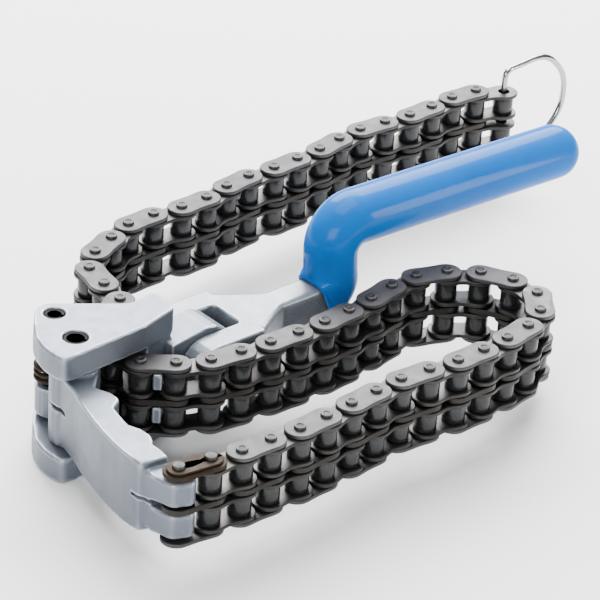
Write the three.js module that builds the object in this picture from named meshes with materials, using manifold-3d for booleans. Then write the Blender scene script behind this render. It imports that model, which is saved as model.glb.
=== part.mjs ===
// Chain filter wrench: a two-strand roller chain hangs from a cast head, loops round the work, passes
// back through the throat of the head and is held there by two teeth. Its first link is pinned to a
// swinging jaw. A cranked handle with a dipped grip is hinged to the tongue of the head.
// Millimetres, +Z up, +X along the handle. The origin is on the underside of the lower ear.
import * as THREE from 'three';
import * as BufferGeometryUtils from 'three/addons/utils/BufferGeometryUtils.js';
import Module from 'manifold-3d';

const wasm = await Module();
wasm.setup();

// Clearances shared by all pieces
const FIT_GAP = 0.3;
const PIN_GAP = 0.2;
const OVERRUN = 2;

// Chain: half-inch pitch, two strands
const PITCH = 12.7;
const ROLLER_D = 8.5;
const LINK_PIN_D = 4.4;
const STRAND_SPACING = 13.92;
const ROLLER_LENGTH = 7.75;
const PLATE_THICK = 1.5;
const CENTRE_PLATE_THICK = 2.3;
const OUTER_PLATE_WIDTH = 11.2;
const INNER_PLATE_WIDTH = 11.6;
const OUTER_WAIST_SHARE = 0.95;
const INNER_WAIST_SHARE = 0.8;
const CLIP_HALF_SHARE = 0.36;
const RIVET_PROUD = 1.2;
const CLIP_THICK = 0.9;
const CLIP_SEAT_GAP = 0.15;
const CLIP_PIN_PROUD = 2.4;

// Head casting
const EAR_THICK = 10;
const THROAT_HALF = 16;
const KEEPER_PIN_AT = new THREE.Vector2(3.9, 17.7);
const KEEPER_PIN_D = 7.6;
const JAW_PIN_D = 9;
const ROLL_PIN_WALL = 1.5;
const ROLL_PIN_SLOT = 1.2;
const ROLL_PIN_RECESS = 1.1;
const ROLL_PIN_TURN = THREE.MathUtils.degToRad(-60);
const EAR_RIM = 7.2;
const EAR_FRONT_LEFT = new THREE.Vector2(-12.8, -10.6);
const EAR_BULGE = [[-9.8, 12], [-13.4, 3], [-13.9, -3.6]];
const HEAD_REACH = 42.7;
const EAR_END_RAKE = 1.2;
const EAR_FRONT_RIGHT = 4;
const EAR_BACK_RIGHT = 9.4;
const EAR_DIP = new THREE.Vector2(30.5, 7.6);
const EAR_BOW = new THREE.Vector2(25, -8.3);
const WEB_LEFT = 26.3;
const WEB_BACK = 6.8;
const CORNER_R = 2.4;

// Hook teeth between the rollers of the held link
const TOOTH_WIDTH = 6.6;
const TOOTH_CLEARANCE = 0.35;
const TOOTH_LENGTH = 9.5;
const TOOTH_ROOT_WIDTH = 6.2;
const TOOTH_TIP = 2.6;
const TOOTH_ROUND_SHARE = 0.88;
const TOOTH_FLANK_SHARES = [[0.47, 1.22], [0.75, 1.7]];

// Tongue, fork and flex pin
const TONGUE_HALF = 7.6;
const TONGUE_Y = -0.35;
const FLEX_X = 51.5;
const FLEX_Z = 2.5;
const FLEX_R = 10;
const FLEX_PIN_D = 8;
const TONGUE_NOSE = new THREE.Vector2(54, 2);
const TONGUE_NOSE_R = 13.2;
const TONGUE_ROOT_HALF = 10.8;
const FORK_HALF = 17.4;
const FORK_Y = -0.5;
const CROTCH_X = 69.3;
const FORK_END = 73;
const SHOULDER_LENGTH = 17;
const SHOULDER_POWER = 1.15;

// Handle bar and grip
const NECK_WIDTH = 12.8;
const NECK_HEIGHT = 16.4;
const NECK_POWER = 7;
const FORK_POWER = 12;
const GRIP_START_POWER = 5;
const NECK_Y = -2;
const BAR_D = 12.4;
const CRANK_LOW = new THREE.Vector2(118, 4.6);
const CRANK_HIGH = new THREE.Vector2(116.2, 35.7);
const BAR_END = new THREE.Vector2(228.2, 32);
const CRANK_R = 10.8;
const GRIP_D = 22;
const GRIP_WALL = 1.7;
const GRIP_START_SHARE = 0.24;
const GRIP_ROUND_SHARE = 1;
const GRIP_OVERHANG = 13;

// Jaw
const JAW_LENGTH = 75.5;
const JAW_LEAN = THREE.MathUtils.degToRad(-9.4);
const JAW_HALF = 14;
const JAW_BARREL_R = 9.2;
const JAW_BARREL_GAP = 0.8;
const JAW_ARM_WIDTH = 11.2;
const JAW_TAB_R = 6.2;
const JAW_TAB_HALF = 11.3;
const BARREL_SLOT = 1.6;
const BARREL_SLOT_DEPTH = 3;

// Keeper and its torsion spring, both on the keeper pin
const KEEPER_R = 6.7;
const KEEPER_TOP_HEIGHT = 8.7;
const KEEPER_LOW_HEIGHT = 11.8;
const KEEPER_TOP_GAP = 0.4;
const KEEPER_NOSE = 10.2;
const KEEPER_NOSE_THICK = 2.3;
const KEEPER_NOSE_WIDTH = 7;
const SPRING_WIRE = 1.9;
const SPRING_OD = 14.6;
const SPRING_CURLS = 3;
const SPRING_CURL_GAP = 0.5;

// Pull ring through the end bush
const RING_WIRE = 2.6;
const RING_BORE_GAP = 0.5;
const RING_TOP = 21.6;
const RING_BOTTOM = -17.4;
const RING_REACH = 36;
const RING_END_BEND_SHARE = 1.5;
const RING_BOW_SHARES = [[0.62, -0.06], [1, 0.32], [1, 0.72], [0.66, 1.05]];

// Facets and rounded corners
const CORNER_SHARE = 0.48;
const PLATE_END_STEPS = 3;
const HIDDEN_END_STEPS = 2;
const ROLLER_SIDES = 8;
const PIN_SIDES = 6;
const ROUND_STEPS = 20;
const BAR_SIDES = 12;
const BEND_STEPS = 5;
const DOME_STEPS = 4;

// Directions in degrees, link by link, from the jaw pin round the loop, back from the held link to the
// open pivot, and from the held link through the throat to the pull ring
const LOOP_HEADINGS = [
  -8, -6, -1, -3, 3, 5, 5, 4, -5, -7,
  0, 4, 9, 25, 51, 91, 119, 141, 160, 182,
];
const RETURN_HEADINGS = [-27, -9, -7, -4, -1, 3, 7, 10];
const BACK_HEADINGS = [
  140, 106, 71, 42, 31, 80, 78, 43, 24, 22, 3, -7, 2,
  13, 8, -2, 3, 5, 11, 7, -4, -5, 3, 6, -4, -22,
];
const HELD_LINK_AT = new THREE.Vector2(30.5, -19.2);

// The model frame has its origin on the jaw pin at the chain's middle plane
const FOOT_X = 20;
const FOOT_Y = 2;
const HEAD_HALF = THROAT_HALF + EAR_THICK;

// Levels of the chain plates above the middle plane
const STRAND_MID = STRAND_SPACING / 2;
const INNER_LOW = STRAND_MID - ROLLER_LENGTH / 2 - PLATE_THICK;
const ROLLER_LOW = STRAND_MID - ROLLER_LENGTH / 2;
const ROLLER_TOP = STRAND_MID + ROLLER_LENGTH / 2;
const INNER_TOP = ROLLER_TOP + PLATE_THICK;
const OUTER_LOW = INNER_TOP + FIT_GAP;
const OUTER_TOP = OUTER_LOW + PLATE_THICK;

// Solids
function solid(geometry) {
  const bare = geometry.index ? geometry.toNonIndexed() : geometry;
  bare.deleteAttribute('normal');
  bare.deleteAttribute('uv');
  const merged = BufferGeometryUtils.mergeVertices(bare, 1e-4);
  return new wasm.Manifold(new wasm.Mesh({
    numProp: 3,
    vertProperties: new Float32Array(merged.attributes.position.array),
    triVerts: new Uint32Array(merged.index.array),
  }));
}

function geometryOf(manifold) {
  const mesh = manifold.getMesh();
  const geometry = new THREE.BufferGeometry();
  geometry.setAttribute('position', new THREE.BufferAttribute(mesh.vertProperties, 3));
  geometry.setIndex(new THREE.BufferAttribute(mesh.triVerts, 1));
  const flat = geometry.toNonIndexed();
  flat.computeVertexNormals();
  return flat;
}

function joined(solids) {
  return solids.reduce((whole, piece) => whole.add(piece));
}

// A flat outline raised between two levels
function slab(points, low, high) {
  const shape = new THREE.Shape(points);
  const geometry = new THREE.ExtrudeGeometry(shape, { depth: high - low, bevelEnabled: false });
  geometry.translate(0, 0, low);
  return solid(geometry);
}

// An outline in X and Z carried along Y
function sideSlab(points, nearY, farY) {
  const shape = new THREE.Shape(points);
  const geometry = new THREE.ExtrudeGeometry(shape, { depth: farY - nearY, bevelEnabled: false });
  geometry.rotateX(Math.PI / 2);
  geometry.translate(0, farY, 0);
  return solid(geometry);
}

function circle(centre, radius, sides, turn = 0) {
  return Array.from({ length: sides }, (_, i) => {
    const angle = turn + (2 * Math.PI * i) / sides;
    return new THREE.Vector2(centre.x + radius * Math.cos(angle), centre.y + radius * Math.sin(angle));
  });
}

function arc(centre, radius, from, to, steps) {
  return Array.from({ length: steps + 1 }, (_, i) => {
    const angle = THREE.MathUtils.lerp(from, to, i / steps);
    return new THREE.Vector2(centre.x + radius * Math.cos(angle), centre.y + radius * Math.sin(angle));
  });
}

function degrees(value) {
  return THREE.MathUtils.degToRad(value);
}

function onBearing(from, bearing, distance) {
  return new THREE.Vector2(from.x + distance * Math.cos(bearing), from.y + distance * Math.sin(bearing));
}

// An outline whose corners are rounded; each corner is [point, radius]
function rounded(corners, steps = 3) {
  const outline = [];
  corners.forEach(([point, radius], i) => {
    const before = corners[(i + corners.length - 1) % corners.length][0];
    const after = corners[(i + 1) % corners.length][0];
    if (!radius) {
      outline.push(point.clone());
      return;
    }
    const back = before.clone().sub(point);
    const ahead = after.clone().sub(point);
    const half = Math.abs(back.angleTo(ahead)) / 2;
    const room = Math.min(back.length() * CORNER_SHARE, ahead.length() * CORNER_SHARE);
    const reach = Math.min(radius / Math.tan(half), room);
    const start = point.clone().add(back.setLength(reach));
    const end = point.clone().add(ahead.setLength(reach));
    const bend = new THREE.QuadraticBezierCurve(start, point, end);
    outline.push(...bend.getPoints(steps));
  });
  return outline;
}

// A closed skin over rings of points, flat at both ends, or running into itself
function skin(rings, loop = false) {
  const count = rings[0].length;
  const position = rings.flat().flatMap((p) => [p.x, p.y, p.z]);
  const index = [];
  const runs = loop ? rings.length : rings.length - 1;
  for (let r = 0; r < runs; r += 1) {
    const low = r * count;
    const high = ((r + 1) % rings.length) * count;
    for (let s = 0; s < count; s += 1) {
      const next = (s + 1) % count;
      index.push(low + s, low + next, high + next);
      index.push(low + s, high + next, high + s);
    }
  }
  if (!loop) {
    const last = (rings.length - 1) * count;
    for (let s = 1; s < count - 1; s += 1) {
      index.push(0, s + 1, s);
      index.push(last, last + s, last + s + 1);
    }
  }
  const geometry = new THREE.BufferGeometry();
  geometry.setAttribute('position', new THREE.Float32BufferAttribute(position, 3));
  geometry.setIndex(index);
  return geometry;
}

// Chain plate round two pins, drawn in at the waist
function plateOutline(from, to, width, waistShare, endSteps) {
  const along = to.clone().sub(from);
  const bearing = along.angle();
  const middle = from.clone().add(to).multiplyScalar(1 / 2);
  const radius = width / 2;
  return [
    ...arc(to, radius, bearing - Math.PI / 2, bearing + Math.PI / 2, endSteps),
    onBearing(middle, bearing + Math.PI / 2, radius * waistShare),
    ...arc(from, radius, bearing + Math.PI / 2, bearing + (3 * Math.PI) / 2, endSteps),
    onBearing(middle, bearing - Math.PI / 2, radius * waistShare),
  ];
}

const JOINT = new THREE.Vector2(0, 0);
const FAR_PIN = new THREE.Vector2(PITCH, 0);

function bothSides(make) {
  return [make(1), make(-1)];
}

function between(side, near, far) {
  return side > 0 ? [near, far] : [-far, -near];
}

// Outer link from the joint to the far pin: two cover plates, the centre plate and the rivet ends
function outerLink(topProud = RIVET_PROUD) {
  const cover = plateOutline(JOINT, FAR_PIN, OUTER_PLATE_WIDTH, OUTER_WAIST_SHARE, PLATE_END_STEPS);
  const centre = plateOutline(JOINT, FAR_PIN, OUTER_PLATE_WIDTH, OUTER_WAIST_SHARE, HIDDEN_END_STEPS);
  const plates = bothSides((side) => slab(cover, ...between(side, OUTER_LOW, OUTER_TOP)));
  plates.push(slab(centre, -CENTRE_PLATE_THICK / 2, CENTRE_PLATE_THICK / 2));
  const rivets = [JOINT, FAR_PIN].flatMap((pin) => bothSides((side) => {
    const proud = side > 0 ? topProud : RIVET_PROUD;
    return slab(circle(pin, LINK_PIN_D / 2, PIN_SIDES), ...between(side, OUTER_LOW, OUTER_TOP + proud));
  }));
  return [...plates, ...rivets];
}

// Pin of an outer link inside its neighbour's bushes
function pinShaft(pin) {
  const outline = circle(pin, LINK_PIN_D / 2, PIN_SIDES);
  return slab(outline, -OUTER_LOW, OUTER_LOW);
}

// Inner link of both strands from one pin to another: plates and rollers
function innerLink(from, to) {
  const outline = plateOutline(from, to, INNER_PLATE_WIDTH, INNER_WAIST_SHARE, PLATE_END_STEPS);
  const plain = plateOutline(from, to, INNER_PLATE_WIDTH, INNER_WAIST_SHARE, HIDDEN_END_STEPS);
  return bothSides((side) => [
    slab(plain, ...between(side, INNER_LOW, ROLLER_LOW)),
    slab(outline, ...between(side, ROLLER_TOP, INNER_TOP)),
    ...[from, to].map((pin) => {
      const roller = circle(pin, ROLLER_D / 2, ROLLER_SIDES, Math.PI / ROLLER_SIDES);
      return slab(roller, ...between(side, ROLLER_LOW, ROLLER_TOP));
    }),
  ]).flat();
}

function bushBore(pin, radius) {
  const clear = radius / Math.cos(Math.PI / PIN_SIDES);
  return slab(circle(pin, clear, PIN_SIDES), -INNER_TOP - OVERRUN, INNER_TOP + OVERRUN);
}

// Outer link with the inner link riveted to it at the joint, which carries the next link in its bushes
function linkPair(innerBearing, openPivot = false, topProud = RIVET_PROUD) {
  const innerEnd = onBearing(JOINT, innerBearing, PITCH);
  const inner = joined(innerLink(JOINT, innerEnd)).subtract(bushBore(innerEnd, LINK_PIN_D / 2 + FIT_GAP));
  const shafts = openPivot ? [pinShaft(JOINT)] : [pinShaft(JOINT), pinShaft(FAR_PIN)];
  return joined([inner, ...outerLink(topProud), ...shafts]);
}

// Last link pair, with one more inner link whose end bush holds the pull ring
function endLink(innerBearing, endBearing) {
  const endPin = onBearing(FAR_PIN, endBearing, PITCH);
  const end = joined(innerLink(FAR_PIN, endPin)).subtract(bushBore(endPin, RING_WIRE / 2 + RING_BORE_GAP));
  return linkPair(innerBearing).add(end);
}

function walk(start, headings) {
  const pins = [start.clone()];
  headings.forEach((heading) => pins.push(onBearing(pins[pins.length - 1], degrees(heading), PITCH)));
  return pins;
}

// Two runs hung from fixed pins are swung until their ends meet at the open pivot
function meet(startA, runA, startB, runB) {
  const a = walk(startA, runA);
  const b = walk(startB, runB);
  const reachA = a[a.length - 1].clone().sub(startA);
  const reachB = b[b.length - 1].clone().sub(startB);
  const base = startB.clone().sub(startA);
  const cosine = (reachA.lengthSq() + base.lengthSq() - reachB.lengthSq())
    / (2 * reachA.length() * base.length());
  const bearing = base.angle() - Math.acos(cosine);
  const apex = onBearing(startA, bearing, reachA.length());
  const turnA = bearing - reachA.angle();
  const turnB = apex.clone().sub(startB).angle() - reachB.angle();
  return [
    a.map((p) => p.rotateAround(startA, turnA)),
    b.map((p) => p.rotateAround(startB, turnB)),
  ];
}

const JAW_PIN = new THREE.Vector2(0, 0);
const CHAIN_START = onBearing(JAW_PIN, JAW_LEAN - Math.PI / 2, JAW_LENGTH);
const [LOOP_PINS, RETURN_PINS] = meet(CHAIN_START, LOOP_HEADINGS, HELD_LINK_AT, RETURN_HEADINGS);
const BACK_PINS = walk(HELD_LINK_AT, BACK_HEADINGS);
const HELD_NEXT = BACK_PINS[1];

function bearingOf(from, to) {
  return to.clone().sub(from).angle();
}

function named(name, geometry, material) {
  const mesh = new THREE.Mesh(geometry, material);
  mesh.name = name;
  return mesh;
}

function placed(mesh, at, turn) {
  mesh.position.set(at.x, at.y, 0);
  mesh.rotation.z = turn;
  return mesh;
}

// Materials
function metal(color, roughness, metalness) {
  return new THREE.MeshStandardMaterial({ color, roughness, metalness });
}

function castSilver() {
  return metal(0xb4b8bd, 0.45, 0.75);
}

function chainSteel() {
  return metal(0x76777a, 0.4, 0.85);
}

function oiledSteel() {
  return metal(0x4a3f36, 0.42, 0.8);
}

// Head casting
function earOutline() {
  const frontRight = new THREE.Vector2(HEAD_REACH - EAR_END_RAKE, -EAR_FRONT_RIGHT);
  const backRight = new THREE.Vector2(HEAD_REACH, EAR_BACK_RIGHT);
  const bulge = EAR_BULGE.map(([x, y]) => [new THREE.Vector2(x, y), EAR_RIM]);
  const boss = arc(KEEPER_PIN_AT, EAR_RIM, degrees(40), degrees(150), 5).map((p) => [p, 0]);
  return rounded([
    [EAR_FRONT_LEFT, CORNER_R],
    [EAR_BOW, CORNER_R],
    [frontRight, CORNER_R],
    [backRight, CORNER_R],
    [EAR_DIP, EAR_RIM],
    ...boss,
    ...bulge,
  ]);
}

function webOutline() {
  const along = (x) => THREE.MathUtils.mapLinear(x, EAR_BOW.x, HEAD_REACH, EAR_BOW.y, -EAR_FRONT_RIGHT);
  return rounded([
    [new THREE.Vector2(WEB_LEFT, along(WEB_LEFT) + FIT_GAP), 0],
    [new THREE.Vector2(HEAD_REACH - CORNER_R, along(HEAD_REACH - CORNER_R) + FIT_GAP), CORNER_R],
    [new THREE.Vector2(HEAD_REACH - FIT_GAP, WEB_BACK), CORNER_R],
    [new THREE.Vector2(WEB_LEFT, WEB_BACK), CORNER_R],
  ]);
}

// Tooth that narrows like a sprocket's to pass between two rollers
function toothOutline() {
  const middle = HELD_LINK_AT.clone().add(HELD_NEXT).multiplyScalar(1 / 2);
  const across = bearingOf(HELD_LINK_AT, HELD_NEXT);
  const inward = across - Math.PI / 2;
  const slot = (PITCH - ROLLER_D) / 2 - TOOTH_CLEARANCE;
  const roller = ROLLER_D / 2;
  const stations = [
    [-TOOTH_TIP, slot * TOOTH_ROUND_SHARE],
    [-TOOTH_TIP + slot / 2, slot],
    [0, slot],
    ...TOOTH_FLANK_SHARES.map(([depthShare, widthShare]) => [roller * depthShare, slot * widthShare]),
    [TOOTH_LENGTH, TOOTH_ROOT_WIDTH / 2],
  ];
  const side = (sign) => stations.map(([depth, half]) => {
    return onBearing(onBearing(middle, inward, depth), across, sign * half);
  });
  return [...side(1), ...side(-1).reverse()];
}

function tongueProfile() {
  const root = HEAD_REACH - CORNER_R - CORNER_R;
  return [
    new THREE.Vector2(root, TONGUE_NOSE.y - TONGUE_ROOT_HALF),
    ...arc(TONGUE_NOSE, TONGUE_NOSE_R, -Math.PI / 2, Math.PI / 2, ROUND_STEPS / 2),
    new THREE.Vector2(root, TONGUE_NOSE.y + TONGUE_ROOT_HALF),
  ];
}

function flexPinSolid(radius, nearY, farY) {
  const axis = new THREE.Vector2(FLEX_X, FLEX_Z);
  return sideSlab(circle(axis, radius, ROUND_STEPS / 2), nearY, farY);
}

function headCasting() {
  const ears = bothSides((side) => slab(earOutline(), ...between(side, THROAT_HALF, HEAD_HALF)));
  const web = slab(webOutline(), -THROAT_HALF - OVERRUN, THROAT_HALF + OVERRUN);
  const teeth = bothSides((side) => {
    const middle = STRAND_MID * side;
    return slab(toothOutline(), middle - TOOTH_WIDTH / 2, middle + TOOTH_WIDTH / 2);
  });
  const tongue = sideSlab(tongueProfile(), TONGUE_Y - TONGUE_HALF, TONGUE_Y + TONGUE_HALF);
  const pastHead = HEAD_HALF + OVERRUN;
  const pastTongue = TONGUE_HALF + OVERRUN;
  const holes = [
    slab(circle(JAW_PIN, JAW_PIN_D / 2 + PIN_GAP, ROUND_STEPS), -pastHead, pastHead),
    slab(circle(KEEPER_PIN_AT, KEEPER_PIN_D / 2 + PIN_GAP, ROUND_STEPS), -pastHead, pastHead),
    flexPinSolid(FLEX_PIN_D / 2 + FIT_GAP, TONGUE_Y - pastTongue, TONGUE_Y + pastTongue),
  ];
  const body = joined([...ears, web, ...teeth, tongue]);
  return geometryOf(holes.reduce((rest, hole) => rest.subtract(hole), body));
}

// Rolled pin: a hollow pin with a slot down one side
function rollPin(diameter, slotBearing) {
  const outer = diameter / 2;
  const inner = outer - ROLL_PIN_WALL;
  const halfSlot = ROLL_PIN_SLOT / 2;
  const start = slotBearing + Math.asin(halfSlot / outer);
  const innerStart = slotBearing + Math.asin(halfSlot / inner);
  const outline = [
    ...arc(JOINT, outer, start, 2 * Math.PI + 2 * slotBearing - start, ROUND_STEPS),
    ...arc(JOINT, inner, 2 * Math.PI + 2 * slotBearing - innerStart, innerStart, ROUND_STEPS / 2),
  ];
  return geometryOf(slab(outline, -HEAD_HALF + ROLL_PIN_RECESS, HEAD_HALF - ROLL_PIN_RECESS));
}

// Jaw, drawn with its arm along -Y from the jaw pin; shares of the arm's width and of the jaw's length
const JAW_OUTER_SHARES = [
  [-0.7, 0.06], [-0.75, 0.2], [-0.89, 0.32], [-0.97, 0.435], [-1.03, 0.55], [-1.03, 0.67], [-0.99, 0.76],
  [-0.87, 0.877],
];
const JAW_INNER_SHARES = [
  [0.1, 0.875], [0.1, 0.801], [0.02, 0.748], [0.13, 0.728], [0.21, 0.678], [0.1, 0.613], [-0.12, 0.559],
  [-0.1, 0.475], [-0.05, 0.402], [0.29, 0.358], [0.34, 0.333], [0.26, 0.278], [-0.02, 0.209], [0.5, 0.1],
];
const JAW_TAB_SHARES = [
  [0.1, 0.86], [-0.76, 0.86], [-0.7, 0.91], [-0.64, 0.95], [-0.52, 1], [-0.36, 1.05], [-0.1, 1.06],
];

function jawPoints(shares) {
  return shares.map(([across, along]) => new THREE.Vector2(across * JAW_ARM_WIDTH, -along * JAW_LENGTH));
}

function jawCasting() {
  const arm = slab([...jawPoints(JAW_OUTER_SHARES), ...jawPoints(JAW_INNER_SHARES)], -JAW_HALF, JAW_HALF);
  const barrelHalf = THROAT_HALF - JAW_BARREL_GAP;
  const barrel = slab(circle(JAW_PIN, JAW_BARREL_R, ROUND_STEPS), -barrelHalf, barrelHalf);
  const chainPin = new THREE.Vector2(0, -JAW_LENGTH);
  const lobe = [
    ...jawPoints(JAW_TAB_SHARES),
    ...arc(chainPin, JAW_TAB_R, degrees(-60), degrees(60), ROUND_STEPS / 4),
  ];
  const tab = slab(lobe, -JAW_TAB_HALF, JAW_TAB_HALF);
  const slitHalf = CENTRE_PLATE_THICK / 2 + FIT_GAP;
  const slitTop = chainPin.y + OUTER_PLATE_WIDTH / 2 + FIT_GAP;
  const slit = slab([
    new THREE.Vector2(-JAW_LENGTH, slitTop - JAW_LENGTH),
    new THREE.Vector2(JAW_LENGTH, slitTop - JAW_LENGTH),
    new THREE.Vector2(JAW_LENGTH, slitTop),
    new THREE.Vector2(-JAW_LENGTH, slitTop),
  ], -slitHalf, slitHalf);
  const groove = slab([
    ...arc(JAW_PIN, JAW_BARREL_R + OVERRUN, degrees(110), degrees(250), ROUND_STEPS / 3),
    ...arc(JAW_PIN, JAW_BARREL_R - BARREL_SLOT_DEPTH, degrees(250), degrees(110), ROUND_STEPS / 3),
  ], -BARREL_SLOT / 2, BARREL_SLOT / 2);
  const bore = slab(circle(JAW_PIN, JAW_PIN_D / 2 + FIT_GAP, ROUND_STEPS), -HEAD_HALF, HEAD_HALF);
  const pinHole = slab(circle(chainPin, LINK_PIN_D / 2 + FIT_GAP, ROUND_STEPS / 2), -HEAD_HALF, HEAD_HALF);
  const body = joined([arm, barrel, tab]);
  return geometryOf([slit, groove, bore, pinHole].reduce((rest, cut) => rest.subtract(cut), body));
}

// Keeper: two knuckles on the keeper pin, joined by a nose that bears on the chain
function keeperCasting() {
  const top = THROAT_HALF - KEEPER_TOP_GAP;
  const low = top - KEEPER_TOP_HEIGHT - springRoom() - KEEPER_LOW_HEIGHT;
  const knuckle = circle(JOINT, KEEPER_R, ROUND_STEPS);
  const half = KEEPER_NOSE_WIDTH / 2;
  const nose = [
    new THREE.Vector2(0, -half),
    new THREE.Vector2(KEEPER_NOSE, -half),
    new THREE.Vector2(KEEPER_NOSE, half),
    new THREE.Vector2(0, half),
  ];
  const bar = [
    new THREE.Vector2(KEEPER_NOSE - KEEPER_NOSE_THICK, -half),
    new THREE.Vector2(KEEPER_NOSE, -half),
    new THREE.Vector2(KEEPER_NOSE, half),
    new THREE.Vector2(KEEPER_NOSE - KEEPER_NOSE_THICK, half),
  ];
  const levels = [[top - KEEPER_TOP_HEIGHT, top], [low, low + KEEPER_LOW_HEIGHT]];
  const knuckles = levels.flatMap(([from, to]) => [slab(knuckle, from, to), slab(nose, from, to)]);
  const bore = slab(circle(JOINT, KEEPER_PIN_D / 2 + FIT_GAP, ROUND_STEPS), -HEAD_HALF, HEAD_HALF);
  return geometryOf(joined([...knuckles, slab(bar, low, top)]).subtract(bore));
}

function springRise() {
  return SPRING_WIRE + SPRING_CURL_GAP;
}

function springRoom() {
  return SPRING_CURLS * springRise() + SPRING_WIRE + FIT_GAP + FIT_GAP;
}

// Torsion spring: one tube of round curls whose ends run straight for one wire diameter
function torsionSpring() {
  const radius = (SPRING_OD - SPRING_WIRE) / 2;
  const stepsPerCurl = 8;
  const sides = 5;
  const steps = SPRING_CURLS * stepsPerCurl;
  const places = [];
  for (let i = 0; i <= steps; i += 1) {
    const turn = (2 * Math.PI * i) / stepsPerCurl;
    const rise = (springRise() * i) / stepsPerCurl;
    places.push({ at: onBearing(JOINT, turn, radius), turn, rise });
  }
  const first = places[0];
  const last = places[steps];
  places.unshift({ ...first, at: onBearing(first.at, first.turn - Math.PI / 2, SPRING_WIRE) });
  places.push({ ...last, at: onBearing(last.at, last.turn + Math.PI / 2, SPRING_WIRE) });
  const rings = places.map(({ at, turn, rise }) => Array.from({ length: sides }, (_, s) => {
    const angle = (2 * Math.PI * s) / sides;
    const flat = onBearing(at, turn, (Math.sin(angle) * SPRING_WIRE) / 2);
    return new THREE.Vector3(flat.x, flat.y, rise + (Math.cos(angle) * SPRING_WIRE) / 2);
  }));
  const curl = stepsPerCurl;
  let gap = Infinity;
  for (let i = 1; i + curl < rings.length - 1; i += 1) {
    rings[i].forEach((p) => rings[i + curl].forEach((q) => { gap = Math.min(gap, p.distanceTo(q)); }));
  }
  console.log(`torsion spring: least gap between curls ${gap.toFixed(2)} mm`);
  return skin(rings);
}

// Handle
function superEllipse(halfWidth, halfHeight, power, sides) {
  return Array.from({ length: sides }, (_, i) => {
    const angle = (2 * Math.PI * (i + 1 / 2)) / sides;
    const c = Math.cos(angle);
    const s = Math.sin(angle);
    return new THREE.Vector2(
      halfWidth * Math.sign(c) * Math.abs(c) ** (2 / power),
      halfHeight * Math.sign(s) * Math.abs(s) ** (2 / power),
    );
  });
}

// Section whose width runs along Y, set square to a path in the X-Z plane
function sectionAt(place, slope, centreY, outline) {
  const up = new THREE.Vector3(-Math.sin(slope), 0, Math.cos(slope));
  return outline.map((p) => new THREE.Vector3(place.x, centreY + p.x, place.y).addScaledVector(up, p.y));
}

// A circular bend of the bar's centreline between two straight runs, as places by share of its turn
function bend(before, at, after) {
  const from = bearingOf(before, at);
  const ahead = after.clone().sub(at).rotateAround(JOINT, -from);
  const turn = Math.atan2(ahead.y, ahead.x);
  const side = Math.sign(turn);
  const start = onBearing(at, from + Math.PI, CRANK_R * Math.tan(Math.abs(turn) / 2));
  return (share) => {
    const slope = from + turn * share;
    const x = start.x + side * CRANK_R * (Math.sin(slope) - Math.sin(from));
    const z = start.y - side * CRANK_R * (Math.cos(slope) - Math.cos(from));
    return { at: new THREE.Vector2(x, z), slope };
  };
}

// Places along the bar: level from the fork, up the crank and out to the grip's end, each with its
// share of the change from the neck's squared section to the round one
function barStations(from) {
  const neck = new THREE.Vector2(FORK_END, CRANK_LOW.y);
  const low = bend(neck, CRANK_LOW, CRANK_HIGH);
  const high = bend(CRANK_LOW, CRANK_HIGH, BAR_END);
  const stations = [];
  for (let i = 0; i <= BEND_STEPS; i += 1) {
    const share = THREE.MathUtils.lerp(from, 1, i / BEND_STEPS);
    const round = THREE.MathUtils.mapLinear(share, GRIP_START_SHARE, GRIP_ROUND_SHARE, 0, 1);
    stations.push({ ...low(share), round: THREE.MathUtils.clamp(round, 0, 1) });
  }
  for (let i = 0; i <= BEND_STEPS; i += 1) {
    stations.push({ ...high(i / BEND_STEPS), round: 1 });
  }
  stations.push({ at: BAR_END, slope: high(1).slope, round: 1 });
  return stations;
}

// The bar's section at a place, grown by a wall or gap
function barOutline(round, more) {
  return superEllipse(
    THREE.MathUtils.lerp(NECK_WIDTH / 2, BAR_D / 2, round) + more,
    THREE.MathUtils.lerp(NECK_HEIGHT / 2, BAR_D / 2, round) + more,
    THREE.MathUtils.lerp(NECK_POWER, 2, round),
    BAR_SIDES,
  );
}

function gripOutline(round) {
  return superEllipse(
    THREE.MathUtils.lerp(NECK_WIDTH / 2 + GRIP_WALL, GRIP_D / 2, round),
    THREE.MathUtils.lerp(NECK_HEIGHT / 2 + GRIP_WALL, GRIP_D / 2, round),
    THREE.MathUtils.lerp(GRIP_START_POWER, 2, round),
    BAR_SIDES,
  );
}

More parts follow.
